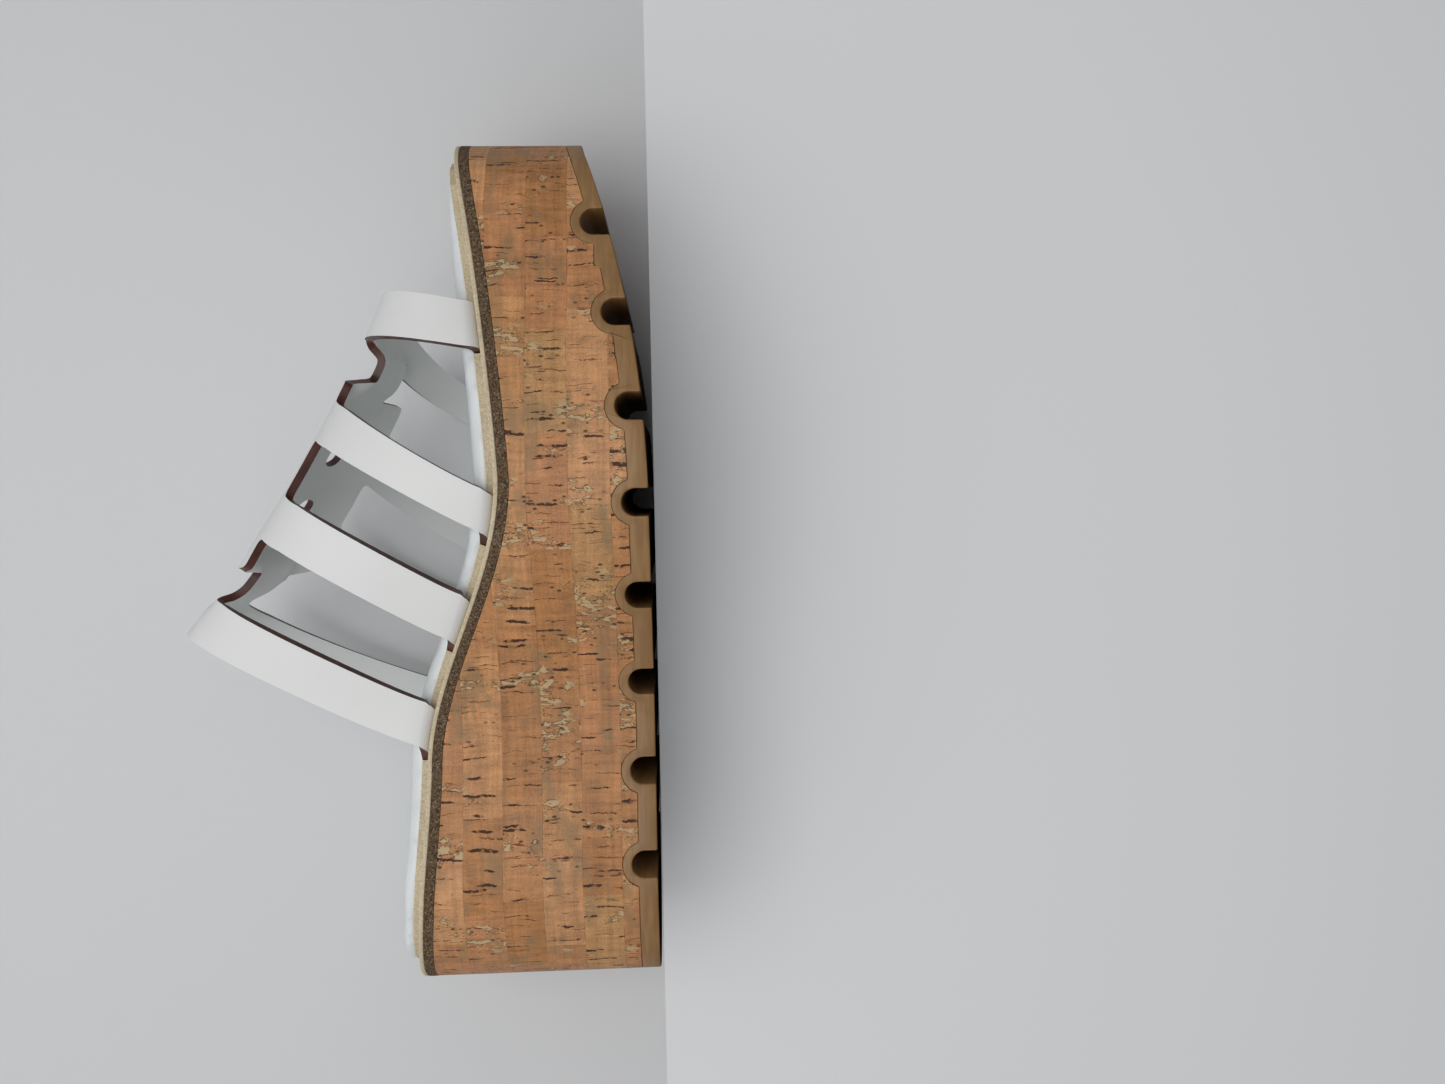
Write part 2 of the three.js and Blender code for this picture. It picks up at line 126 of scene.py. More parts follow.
def sideRuns():  # the outline's inner and outer side, each as rising x with its y
    heelTip = min(range(len(fineOutline)), key=lambda i: fineOutline[i].x)
    toeTip = max(range(len(fineOutline)), key=lambda i: fineOutline[i].x)
    inner = fineOutline[heelTip:toeTip + 1]
    outer = (fineOutline[toeTip:] + fineOutline[:heelTip + 1])[::-1]
    return {side: ([p.x for p in run], [p.y for p in run]) for side, run in ((-1, inner), (1, outer))}


edgeRuns = sideRuns()


def edgeY(x, side):  # the outline's y at x; side is -1 for the inner side and +1 for the outer
    return float(np.interp(x, *edgeRuns[side]))


def ease(low, high, value):
    share = min(max((value - low) / (high - low), 0), 1)
    return share * share * (3 - 2 * share)


# handling pieces
def makeActive(piece):
    bpy.ops.object.select_all(action="DESELECT")
    piece.select_set(True)
    bpy.context.view_layer.objects.active = piece


def loopPiece(name, places, filled=True):  # a ring of corners at the given places
    bpy.ops.object.select_all(action="DESELECT")
    fill = "NGON" if filled else "NOTHING"
    bpy.ops.mesh.primitive_circle_add(vertices=len(places), radius=1, fill_type=fill)
    piece = bpy.context.object
    piece.name = piece.data.name = name
    for vertex, place in zip(piece.data.vertices, places):
        vertex.co = place
    return piece


def extrudeAll(piece, move):
    makeActive(piece)
    bpy.ops.object.mode_set(mode="EDIT")
    bpy.ops.mesh.select_all(action="SELECT")
    bpy.ops.mesh.extrude_region_move(TRANSFORM_OT_translate={"value": move})
    bpy.ops.mesh.select_all(action="SELECT")
    bpy.ops.mesh.normals_make_consistent(inside=False)
    bpy.ops.object.mode_set(mode="OBJECT")


def sliceAt(piece, axis, values):  # cuts the mesh across an axis, so that it can bend there
    makeActive(piece)
    bpy.ops.object.mode_set(mode="EDIT")
    for value in values:
        place, normal = [0, 0, 0], [0, 0, 0]
        place[axis], normal[axis] = value, 1
        bpy.ops.mesh.select_all(action="SELECT")
        bpy.ops.mesh.bisect(plane_co=place, plane_no=normal)
    bpy.ops.object.mode_set(mode="OBJECT")


def modify(piece, kind, **settings):
    makeActive(piece)
    bpy.ops.object.modifier_add(type=kind)
    modifier = piece.modifiers[-1]
    for name, value in settings.items():
        setattr(modifier, name, value)
    bpy.ops.object.modifier_apply(modifier=modifier.name)


def smoothPiece(piece, degrees=35):
    makeActive(piece)
    bpy.ops.object.shade_smooth_by_angle(angle=math.radians(degrees))


def steps(low, high, gap):
    count = max(int(round((high - low) / gap)), 1)
    return [low + (high - low) * i / count for i in range(1, count)]


def layerPiece(name, lower, upper, inset=0.0, corners=620, rows=1):
    # a prism on the outline, sliced and set between two heights that change along the foot
    piece = loopPiece(name, [(x, y, 0) for x, y, _ in outlineLoop(corners, inset)])
    extrudeAll(piece, (0, 0, 1))
    sliceAt(piece, 2, [i / rows for i in range(1, rows)])
    sliceAt(piece, 0, steps(-halfLength, halfLength, 4 * mm))
    for vertex in piece.data.vertices:
        x, share = vertex.co.x, vertex.co.z
        vertex.co.z = lower(x) * (1 - share) + upper(x) * share
    return piece


def finishPiece(piece, nodes, materials, degrees=35):
    smoothPiece(piece, degrees)
    for material in materials:
        piece.data.materials.append(material)
    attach(piece, "root")
    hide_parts(*nodes)
    print("piece done:", piece.name, len(piece.data.polygons), "faces")


# building materials
def tint(red, green, blue):  # display colour, 0 to 255, as the shader's linear colour
    parts = [c / 255 for c in (red, green, blue)]
    return tuple(c / 12.92 if c <= 0.04045 else ((c + 0.055) / 1.055) ** 2.4 for c in parts) + (1,)


def put(tree, kind, inputs=None, **settings):
    node = tree.nodes.new(kind)
    for name, value in settings.items():
        setattr(node, name, value)
    for name, value in (inputs or {}).items():
        if isinstance(value, bpy.types.NodeSocket):
            tree.links.new(value, node.inputs[name])
        else:
            node.inputs[name].default_value = value
    return node


def calc(tree, operation, a, b=0.0):
    return put(tree, "ShaderNodeMath", {0: a, 1: b}, operation=operation).outputs[0]


def fade(tree, value, low, high, first=0.0, second=1.0):
    inputs = {"Value": value, "From Min": low, "From Max": high, "To Min": first, "To Max": second}
    return put(tree, "ShaderNodeMapRange", inputs, interpolation_type="SMOOTHSTEP").outputs["Result"]


def blendColour(tree, share, a, b, kind="MIX"):
    inputs = {0: share, 6: a, 7: b}
    return put(tree, "ShaderNodeMix", inputs, data_type="RGBA", blend_type=kind).outputs[2]


def scaled(tree, vector, x, y, z):
    node = put(tree, "ShaderNodeVectorMath", {0: vector, 1: (x, y, z)}, operation="MULTIPLY")
    return node.outputs[0]


def noiseAt(tree, vector, scale, detail=2.0, roughness=0.5):
    inputs = {"Vector": vector, "Scale": scale, "Detail": detail, "Roughness": roughness}
    return put(tree, "ShaderNodeTexNoise", inputs).outputs["Fac"]


def bumpFrom(tree, height, depth, before=None):
    inputs = {"Height": height, "Distance": depth, "Strength": 1.0}
    if before is not None:
        inputs["Normal"] = before
    return put(tree, "ShaderNodeBump", inputs).outputs["Normal"]


def newGroup(name, inputs, outputs):
    group = bpy.data.node_groups.new(name, "ShaderNodeTree")
    for direction, sockets in (("INPUT", inputs), ("OUTPUT", outputs)):
        for socketName, value in sockets.items():
            kind = {float: "NodeSocketFloat", tuple: "NodeSocketVector"}[type(value)]
            socket = group.interface.new_socket(name=socketName, in_out=direction, socket_type=kind)
            socket.default_value = value
    entry = group.nodes.new("NodeGroupInput").outputs
    leave = group.nodes.new("NodeGroupOutput").inputs
    return group, entry, leave


def useGroup(tree, group, inputs):
    return put(tree, "ShaderNodeGroup", inputs, node_tree=group)


def newMaterial(name, **sockets):
    material = bpy.data.materials.new(name)
    material.use_nodes = True
    tree = material.node_tree
    shader = tree.nodes["Principled BSDF"]
    for socketName, value in sockets.items():
        shader.inputs[socketName.replace("_", " ")].default_value = value
    return material, tree, shader


def objectPlace(tree):
    return put(tree, "ShaderNodeTexCoord").outputs["Object"]


def link(tree, shader, **sockets):
    for name, value in sockets.items():
        tree.links.new(value, shader.inputs[name.replace("_", " ")])


# effects that several materials share
def leatherGrainGroup():  # pebbled grain with fine pores
    group, entry, leave = newGroup(
        "leatherGrain", {"Vector": (0.0, 0.0, 0.0), "Pebble": 1600.0}, {"Height": 0.0, "Pores": 0.0})
    bent = put(group, "ShaderNodeTexNoise", {"Vector": entry["Vector"], "Scale": 500.0, "Detail": 2.0})
    shift = put(group, "ShaderNodeVectorMath", {0: bent.outputs["Color"], 1: (0.0004,) * 3},
                operation="MULTIPLY")
    place = put(group, "ShaderNodeVectorMath", {0: entry["Vector"], 1: shift.outputs[0]}, operation="ADD")
    pebble = put(group, "ShaderNodeTexVoronoi",
                 {"Vector": place.outputs[0], "Scale": entry["Pebble"]}, feature="SMOOTH_F1")
    fine = noiseAt(group, entry["Vector"], 5200.0, 3.0)
    broad = noiseAt(group, entry["Vector"], 260.0, 3.0)
    dome = calc(group, "MULTIPLY", pebble.outputs["Distance"], -1.0)
    height = calc(group, "ADD", dome, calc(group, "MULTIPLY", fine, 0.35))
    height = calc(group, "ADD", height, calc(group, "MULTIPLY", broad, 0.8))
    group.links.new(height, leave["Height"])
    group.links.new(fade(group, fine, 0.34, 0.24), leave["Pores"])
    return group


def boardFleckGroup():  # pressed fibre board: dark and light flecks
    group, entry, leave = newGroup(
        "boardFleck", {"Vector": (0.0, 0.0, 0.0), "Fleck": 2200.0},
        {"Dark": 0.0, "Light": 0.0, "Height": 0.0})
    flecks = put(group, "ShaderNodeTexVoronoi", {"Vector": entry["Vector"], "Scale": entry["Fleck"]})
    pick = put(group, "ShaderNodeSeparateColor", {0: flecks.outputs["Color"]})
    cloud = noiseAt(group, entry["Vector"], 1500.0, 4.0, 0.65)
    spot = fade(group, flecks.outputs["Distance"], 0.62, 0.32)
    dark = calc(group, "MULTIPLY", spot, fade(group, pick.outputs[0], 0.5, 0.6))
    light = calc(group, "MULTIPLY", spot, fade(group, pick.outputs[1], 0.72, 0.8))
    group.links.new(calc(group, "MAXIMUM", dark, fade(group, cloud, 0.5, 0.4)), leave["Dark"])
    group.links.new(light, leave["Light"])
    group.links.new(calc(group, "SUBTRACT", cloud, calc(group, "MULTIPLY", dark, 0.6)), leave["Height"])
    return group


def toneDriftGroup():  # slow change of tone over a surface, round one
    group, entry, leave = newGroup(
        "toneDrift", {"Vector": (0.0, 0.0, 0.0), "Patch": 40.0, "Amount": 0.1}, {"Tone": 1.0})
    broad = noiseAt(group, entry["Vector"], entry["Patch"], 3.0)
    swing = calc(group, "MULTIPLY", calc(group, "SUBTRACT", broad, 0.5), entry["Amount"])
    group.links.new(calc(group, "ADD", calc(group, "MULTIPLY", swing, 2.0), 1.0), leave["Tone"])
    return group


def corkDashGroup():  # dark pores that cross a strip of veneer, some in each strip
    group, entry, leave = newGroup(
        "corkDash",
        {"Along": 0.0, "Strip": 0.0, "Level": 0.0, "Pitch": 0.01, "Thickness": 0.0006, "Share": 0.6,
         "Shortest": 0.3, "Slope": 0.0012, "Seed": 0.0, "Wobble": 0.0},
        {"Mask": 0.0, "Pick": 0.0})
    own = calc(group, "ADD", calc(group, "MULTIPLY", entry["Strip"], 0.371), entry["Seed"])
    cell = calc(group, "ADD", calc(group, "DIVIDE", entry["Along"], entry["Pitch"]), own)
    key = put(group, "ShaderNodeCombineXYZ",
              {0: calc(group, "FLOOR", cell), 1: entry["Strip"], 2: entry["Seed"]})
    draw = put(group, "ShaderNodeTexWhiteNoise", {"Vector": key.outputs[0]}, noise_dimensions="3D")
    pick = put(group, "ShaderNodeSeparateColor", {0: draw.outputs["Color"]}).outputs
    middle = calc(group, "ADD", calc(group, "MULTIPLY", pick[0], 0.6), 0.2)
    off = calc(group, "MULTIPLY", calc(group, "SUBTRACT", calc(group, "FRACT", cell), middle), entry["Pitch"])
    lean = calc(group, "MULTIPLY", calc(group, "SUBTRACT", pick[2], 0.5), entry["Slope"])
    off = calc(group, "ADD", off, calc(group, "MULTIPLY", lean, entry["Level"]))
    off = calc(group, "ABSOLUTE", calc(group, "ADD", off, entry["Wobble"]))
    start = calc(group, "SUBTRACT", calc(group, "MULTIPLY", pick[2], 0.8), 0.15)
    run = calc(group, "ADD", calc(group, "MULTIPLY", pick[1], 0.6), entry["Shortest"])
    begun = fade(group, calc(group, "SUBTRACT", entry["Level"], start), 0.0, 0.12)
    going = fade(group, calc(group, "SUBTRACT", calc(group, "ADD", start, run), entry["Level"]), 0.0, 0.16)
    there = calc(group, "LESS_THAN", draw.outputs["Value"], entry["Share"])
    inside = calc(group, "MULTIPLY", calc(group, "MULTIPLY", begun, going), there)
    breadth = calc(group, "ADD", calc(group, "MULTIPLY", calc(group, "POWER", pick[0], 2.0), 0.75), 0.25)
    breadth = calc(group, "MULTIPLY", calc(group, "MULTIPLY", breadth, entry["Thickness"]), inside)
    line = fade(group, calc(group, "SUBTRACT", breadth, off), -0.00006, 0.00008)
    group.links.new(calc(group, "MULTIPLY", line, fade(group, inside, 0.02, 0.2)), leave["Mask"])
    group.links.new(pick[2], leave["Pick"])
    return group


leatherGrain = leatherGrainGroup()
boardFleck = boardFleckGroup()
toneDrift = toneDriftGroup()
corkDash = corkDashGroup()


def drifted(tree, place, colour, patch, amount):  # a colour whose tone changes slowly over the surface
    drift = useGroup(tree, toneDrift, {"Vector": place, "Patch": patch, "Amount": amount})
    tone = drift.outputs["Tone"]
    grey = put(tree, "ShaderNodeCombineColor", {0: tone, 1: tone, 2: tone}).outputs[0]
    return blendColour(tree, 1.0, colour, grey, "MULTIPLY")


# materials
veneer = {
    "strip": 11.5 * mm, "firstSeam": 10.2 * mm, "wander": 0.5 * mm, "block": 30 * mm,
    "tones": [(0.0, tint(184, 129, 82)), (0.2, tint(196, 141, 92)), (0.4, tint(188, 131, 86)),
              (0.55, tint(198, 145, 99)), (0.72, tint(178, 123, 74)), (0.88, tint(188, 141, 92))],
    "pore": tint(50, 27, 22), "redPore": tint(92, 46, 36), "bark": tint(46, 38, 30),
    "inclusion": tint(200, 180, 138), "olive": tint(142, 116, 82),
}
dashes = {  # pores: pitch, thickness, share of the places taken, shortest run and seed
    "bold": (5.5 * mm, 0.62 * mm, 0.68, 0.3, 3.7),
    "broad": (13 * mm, 0.85 * mm, 0.62, 0.5, 41.3),
    "thin": (3 * mm, 0.28 * mm, 0.7, 0.3, 11.3),
    "hair": (12 * mm, 0.14 * mm, 0.75, 0.8, 27.9),
}


def corkMaterial():
    material, tree, shader = newMaterial("corkVeneer", Roughness=0.55, Specular_IOR_Level=0.35)
    place = put(tree, "ShaderNodeUVMap", uv_map="veneer").outputs[0]
    parts = put(tree, "ShaderNodeSeparateXYZ", {0: place}).outputs
    along, height = parts[0], parts[1]

    def centred(value, amount):  # a noise value turned into a swing either side of nothing
        return calc(tree, "MULTIPLY", calc(tree, "SUBTRACT", value, 0.5), amount)

    # strips stacked up the wall, with seams that wander a little
    sway = centred(noiseAt(tree, scaled(tree, place, 1, 0.2, 1), 30.0, 1.0), 2 * veneer["wander"])
    lifted = calc(tree, "ADD", height, sway)
    level = calc(tree, "DIVIDE", calc(tree, "SUBTRACT", lifted, veneer["firstSeam"]), veneer["strip"])
    strip = calc(tree, "FLOOR", level)
    within = calc(tree, "FRACT", level)
    seam = calc(tree, "MINIMUM", within, calc(tree, "SUBTRACT", 1.0, within))
    # blocks of varied length in each strip, each with its own tone
    blockPlace = calc(tree, "ADD", calc(tree, "DIVIDE", along, veneer["block"]),
                      calc(tree, "MULTIPLY", strip, 7.31))
    blocks = put(tree, "ShaderNodeTexVoronoi", {"W": blockPlace, "Scale": 1.0}, voronoi_dimensions="1D")
    blockPick = put(tree, "ShaderNodeSeparateColor", {0: blocks.outputs["Color"]}).outputs
    ramp = put(tree, "ShaderNodeValToRGB", {0: blockPick[0]})
    ramp.color_ramp.interpolation = "CONSTANT"
    for i, (start, colour) in enumerate(veneer["tones"]):
        stops = ramp.color_ramp.elements
        stop = stops[i] if i < 2 else stops.new(start)
        stop.position = start
        stop.color = colour
    # grain lines along the strip, crossed by fainter ripples
    bentHeight = calc(tree, "ADD", height, centred(noiseAt(tree, place, 60.0, 2.0), 0.003))
    ownPlace = calc(tree, "MULTIPLY", calc(tree, "ADD", strip, blockPick[1]), 0.31)
    grainPlace = put(tree, "ShaderNodeCombineXYZ", {0: along, 1: bentHeight, 2: ownPlace}).outputs[0]
    lines = noiseAt(tree, scaled(tree, grainPlace, 30, 900, 1), 1.0, 2.0, 0.55)
    broad = noiseAt(tree, scaled(tree, grainPlace, 14, 260, 1), 1.0, 2.0)
    ripple = noiseAt(tree, scaled(tree, grainPlace, 700, 90, 1), 1.0, 3.0, 0.6)
    speck = noiseAt(tree, grainPlace, 2300.0, 3.0, 0.7)
    mottle = noiseAt(tree, grainPlace, 120.0, 4.0, 0.65)
    tone = calc(tree, "ADD", centred(lines, 0.6), 0.97)
    for value, amount in ((broad, 0.4), (ripple, 0.8), (speck, 1.0), (mottle, 0.8)):
        tone = calc(tree, "ADD", tone, centred(value, amount))
    grey = put(tree, "ShaderNodeCombineColor", {0: tone, 1: tone, 2: tone}).outputs[0]
    colour = blendColour(tree, 1.0, ramp.outputs[0], grey, "MULTIPLY")
    stain = fade(tree, noiseAt(tree, scaled(tree, grainPlace, 60, 110, 2), 1.0, 3.0, 0.6), 0.52, 0.68)
    colour = blendColour(tree, calc(tree, "MULTIPLY", stain, 0.6), colour, veneer["olive"])
    # bark: clusters of pale inclusions with dark outlines, drawn out across the strip, and flecks
    cluster = noiseAt(tree, scaled(tree, grainPlace, 95, 38, 4), 1.0, 2.0)
    clustered = fade(tree, cluster, 0.54, 0.62)
    worm = noiseAt(tree, scaled(tree, grainPlace, 620, 260, 1), 1.0, 4.0, 0.62)
    island = calc(tree, "MULTIPLY", fade(tree, worm, 0.54, 0.57), clustered)
    outline = fade(tree, calc(tree, "ABSOLUTE", calc(tree, "SUBTRACT", worm, 0.535)), 0.022, 0.006)
    outline = calc(tree, "MULTIPLY", outline, clustered)
    fleckPlace = scaled(tree, grainPlace, 900, 480, 1)
    flecks = put(tree, "ShaderNodeTexVoronoi", {"Vector": fleckPlace, "Scale": 1.0})
    fleckPick = put(tree, "ShaderNodeSeparateColor", {0: flecks.outputs["Color"]}).outputs
    fleck = calc(tree, "MULTIPLY", fade(tree, flecks.outputs["Distance"], 0.42, 0.2),
                 fade(tree, fleckPick[0], 0.8, 0.86))
    fleck = calc(tree, "MULTIPLY", fleck, fade(tree, cluster, 0.44, 0.56))
    colour = blendColour(tree, calc(tree, "MULTIPLY", island, 0.7), colour, veneer["inclusion"])
    # pores that cross the strips: black-brown ones, red-brown ones, and hair cracks
    gather = fade(tree, noiseAt(tree, scaled(tree, grainPlace, 30, 45, 3), 1.0, 2.0), 0.36, 0.62, 0.35, 1.5)
    wobble = calc(tree, "ADD", centred(noiseAt(tree, grainPlace, 700.0, 3.0, 0.6), 0.0012),
                  centred(noiseAt(tree, grainPlace, 160.0, 1.0), 0.0016))
    shared = {"Along": along, "Strip": strip, "Level": within, "Wobble": wobble}
    masks = {}
    for kind, (pitch, thickness, share, shortest, seed) in dashes.items():
        if kind != "hair":
            thickness = calc(tree, "MULTIPLY", gather, thickness)
        own = {"Pitch": pitch, "Thickness": thickness, "Share": share, "Shortest": shortest, "Seed": seed}
        masks[kind] = useGroup(tree, corkDash, {**shared, **own}).outputs["Mask"]
    broken = fade(tree, noiseAt(tree, scaled(tree, grainPlace, 300, 420, 1), 1.0, 3.0, 0.6), 0.4, 0.5)
    thin = calc(tree, "MULTIPLY", masks["thin"], broken)
    colour = blendColour(tree, calc(tree, "MULTIPLY", thin, 0.8), colour, veneer["redPore"])
    colour = blendColour(tree, calc(tree, "MULTIPLY", masks["hair"], 0.5), colour, veneer["redPore"])
    bold = calc(tree, "MAXIMUM", masks["bold"], masks["broad"])
    bold = calc(tree, "MULTIPLY", bold, fade(tree, broken, 0.0, 1.0, 0.35, 1.0))
    colour = blendColour(tree, calc(tree, "MULTIPLY", bold, 0.92), colour, veneer["pore"])
    marks = calc(tree, "MAXIMUM", calc(tree, "MULTIPLY", outline, 0.75), fleck)
    colour = blendColour(tree, calc(tree, "MULTIPLY", marks, 0.85), colour, veneer["bark"])
    seamLine = calc(tree, "MULTIPLY", fade(tree, seam, 0.018, 0.0),
                    fade(tree, noiseAt(tree, place, 220.0, 2.0), 0.4, 0.6, 0.15, 0.7))
    colour = blendColour(tree, calc(tree, "MULTIPLY", seamLine, 0.5), colour, veneer["redPore"])
    pits = calc(tree, "MAXIMUM", calc(tree, "MAXIMUM", bold, thin), marks)
    relief = calc(tree, "SUBTRACT", calc(tree, "MULTIPLY", speck, 0.3), pits)
    relief = calc(tree, "SUBTRACT", relief, calc(tree, "MULTIPLY", seamLine, 0.4))
    rough = calc(tree, "ADD", calc(tree, "MULTIPLY", pits, 0.25), calc(tree, "MULTIPLY", mottle, 0.2))
    link(tree, shader, Base_Color=colour, Roughness=calc(tree, "ADD", rough, 0.38),
         Normal=bumpFrom(tree, relief, 0.00009))
    return material


def rubberMaterial():
    material, tree, shader = newMaterial("gumRubber", Roughness=0.42, Specular_IOR_Level=0.5)
    shader.inputs["Subsurface Weight"].default_value = 0.12
    shader.inputs["Subsurface Radius"].default_value = (0.004, 0.002, 0.001)
    shader.inputs["Subsurface Scale"].default_value = 1.0
    place = objectPlace(tree)
    grain = noiseAt(tree, place, 2600.0, 3.0)
    smear = noiseAt(tree, scaled(tree, place, 1, 1, 8), 90.0, 3.0)
    colour = blendColour(tree, fade(tree, smear, 0.35, 0.7), tint(140, 104, 62), tint(156, 119, 75))
    colour = drifted(tree, place, colour, 55.0, 0.12)
    rough = calc(tree, "ADD", calc(tree, "MULTIPLY", smear, 0.25), 0.34)
    link(tree, shader, Base_Color=colour, Roughness=rough, Normal=bumpFrom(tree, grain, 0.000012))
    return material


def boardMaterial(name, base, dark, light, fleckSize, depth, darkShare, lightShare, roughness):
    material, tree, shader = newMaterial(name, Roughness=roughness, Specular_IOR_Level=0.25)
    place = objectPlace(tree)
    fleck = useGroup(tree, boardFleck, {"Vector": place, "Fleck": fleckSize})
    colour = drifted(tree, place, base, 120.0, 0.2)
    colour = blendColour(tree, calc(tree, "MULTIPLY", fleck.outputs["Dark"], darkShare), colour, dark)
    colour = blendColour(tree, calc(tree, "MULTIPLY", fleck.outputs["Light"], lightShare), colour, light)
    rough = calc(tree, "SUBTRACT", roughness, calc(tree, "MULTIPLY", fleck.outputs["Light"], 0.15))
    link(tree, shader, Base_Color=colour, Roughness=rough,
         Normal=bumpFrom(tree, fleck.outputs["Height"], depth))
    return material


def leatherMaterial(name, colour, roughness, pebble, depth, coat=0.0):
    material, tree, shader = newMaterial(name, Roughness=roughness, Specular_IOR_Level=0.45,
                                         Coat_Weight=coat, Coat_Roughness=0.3)
    place = objectPlace(tree)
    grain = useGroup(tree, leatherGrain, {"Vector": place, "Pebble": pebble})
    shade = drifted(tree, place, colour, 35.0, 0.035)
    pored = tuple(c * 0.8 for c in colour[:3]) + (1,)
    shade = blendColour(tree, calc(tree, "MULTIPLY", grain.outputs["Pores"], 0.5), shade, pored)
    rough = calc(tree, "ADD", calc(tree, "MULTIPLY", grain.outputs["Height"], 0.08), roughness)
    link(tree, shader, Base_Color=shade, Roughness=rough,
         Normal=bumpFrom(tree, grain.outputs["Height"], depth))
    return material, tree, shader


def edgePaintMaterial():
    material, tree, shader = newMaterial("edgePaint", Roughness=0.4, Specular_IOR_Level=0.5)
    place = objectPlace(tree)
    streak = noiseAt(tree, place, 900.0, 3.0)
    broad = noiseAt(tree, place, 120.0, 2.0)
    colour = blendColour(tree, fade(tree, broad, 0.35, 0.65), tint(62, 30, 24), tint(88, 46, 36))
    rough = calc(tree, "ADD", calc(tree, "MULTIPLY", streak, 0.2), 0.3)
    link(tree, shader, Base_Color=colour, Roughness=rough, Normal=bumpFrom(tree, streak, 0.00005))
    return material


def footbedMaterial():
    material, tree, shader = leatherMaterial(
        "footbedLeather", (0.76, 0.79, 0.80, 1), 0.3, 1500.0, 0.00002, coat=0.25)
    # fine pleats where the cover is drawn down round the padding, fading out on top
    roll = put(tree, "ShaderNodeAttribute", attribute_name="rollPlace").outputs["Vector"]
    parts = put(tree, "ShaderNodeSeparateXYZ", {0: roll}).outputs
    slanted = calc(tree, "ADD", parts[0], calc(tree, "MULTIPLY", parts[2], 1.3))
    lowered = calc(tree, "MULTIPLY", parts[2], 0.25)
    pleatPlace = put(tree, "ShaderNodeCombineXYZ", {0: slanted, 1: parts[1], 2: lowered})
    pleats = noiseAt(tree, scaled(tree, pleatPlace.outputs[0], 1100, 60, 200), 1.0, 2.0)
    patches = fade(tree, noiseAt(tree, roll, 45.0, 2.0), 0.42, 0.6)
    onRoll = fade(tree, parts[1], 0.006, 0.001)
    depth = calc(tree, "MULTIPLY", calc(tree, "MULTIPLY", pleats, patches), onRoll)
    before = shader.inputs["Normal"].links[0].from_socket
    tree.links.new(bumpFrom(tree, depth, 0.0003, before), shader.inputs["Normal"])
    return material


print("materials start")
cork = corkMaterial()
rubber = rubberMaterial()
brownBoard = boardMaterial("brownBoard", tint(106, 86, 65), tint(46, 36, 28), tint(170, 150, 122),
                           2300.0, 0.00012, 0.8, 0.6, 0.9)
creamBoard = boardMaterial("creamBoard", tint(212, 196, 166), tint(150, 126, 94), tint(232, 222, 200),
                           1400.0, 0.00003, 0.3, 0.4, 0.6)
fillerBoard = boardMaterial("fillerBoard", tint(205, 192, 165), tint(150, 130, 100), tint(228, 220, 200),
                            1800.0, 0.00005, 0.4, 0.4, 0.9)
coreFoam = boardMaterial("coreFoam", tint(196, 160, 120), tint(150, 116, 84), tint(214, 184, 148),
                         900.0, 0.0001, 0.5, 0.4, 0.85)
whiteLeather, _, _ = leatherMaterial("whiteLeather", (0.80, 0.80, 0.79, 1), 0.42, 1700.0, 0.000016)
liningLeather, _, _ = leatherMaterial("liningLeather", (0.70, 0.715, 0.70, 1), 0.55, 1900.0, 0.00002)
edgePaint = edgePaintMaterial()
footbedLeather = footbedMaterial()

# outsole
sole = {
    "thickness": 5.6 * mm, "tipThickness": 4.4 * mm, "toeSpring": 19.5 * mm,
    "grooveWidth": 7.7 * mm, "grooveDepth": 7.5 * mm, "grooveWall": 2.8 * mm, "pitch": 26.4 * mm,
    "heelMargin": 42 * mm, "toeMargin": 28 * mm, "mouthRound": 0.5 * mm, "lipRound": 0.45 * mm,
    "crownBlend": 0.5 * mm, "corners": 260, "halfWidth": 60 * mm, "past": 5 * mm,
    "treadGap": 4 * mm, "crownGap": 1 * mm, "humpGap": 0.25 * mm,
}


def rocker(x, rise):  # the arc by which the sole leaves the ground towards the toe
    start = stationX(last["rockerStation"])
    run = min(x, halfLength) - start
    if run <= 0:
        return 0.0
    reach = halfLength - start
    radius = (reach * reach + rise * rise) / (2 * rise)
    return radius - math.sqrt(radius * radius - run * run)


def soleBottom(x):
    return rocker(x, sole["toeSpring"])


def grooveStations():
    room = last["length"] - sole["heelMargin"] - sole["toeMargin"]
    count = int(room / sole["pitch"]) + 1
    return [sole["heelMargin"] - halfLength + i * sole["pitch"] for i in range(count)]


grooves = grooveStations()


def grooveBase(middle):  # height of the middle of a groove's round
    return soleBottom(middle) + sole["grooveDepth"] - sole["grooveWidth"] / 2


def soleCrown(x):  # top of the rubber: a plain slab with a hump over each groove
    slab = sole["thickness"] + rocker(x, sole["toeSpring"] + sole["tipThickness"] - sole["thickness"])
    middle = min(grooves, key=lambda m: abs(m - x))
    radius = sole["grooveWidth"] / 2 + sole["grooveWall"]
    off = abs(x - middle)
    hump = grooveBase(middle) + (math.sqrt(radius * radius - off * off) if off < radius else 0)
    soft = max(1 - abs(slab - hump) / sole["crownBlend"], 0)
    return max(slab, hump) + soft * soft * sole["crownBlend"] / 4


def grooveWall(middle):
    radius, small = sole["grooveWidth"] / 2, sole["mouthRound"]
    base = grooveBase(middle)
    rear, front = soleBottom(middle - radius), soleBottom(middle + radius)
    quarter = [math.pi / 2 * i / 4 for i in range(5)]
    wall = [(middle - radius - small * (1 - math.sin(t)), rear + small * (1 - math.cos(t))) for t in quarter]
    half = [math.pi * i / 24 for i in range(25)]
    wall += [(middle - radius * math.cos(t), base + radius * math.sin(t)) for t in half]
    wall += [(middle + radius + small * (1 - math.sin(t)), front + small * (1 - math.cos(t)))
             for t in reversed(quarter)]
    return wall


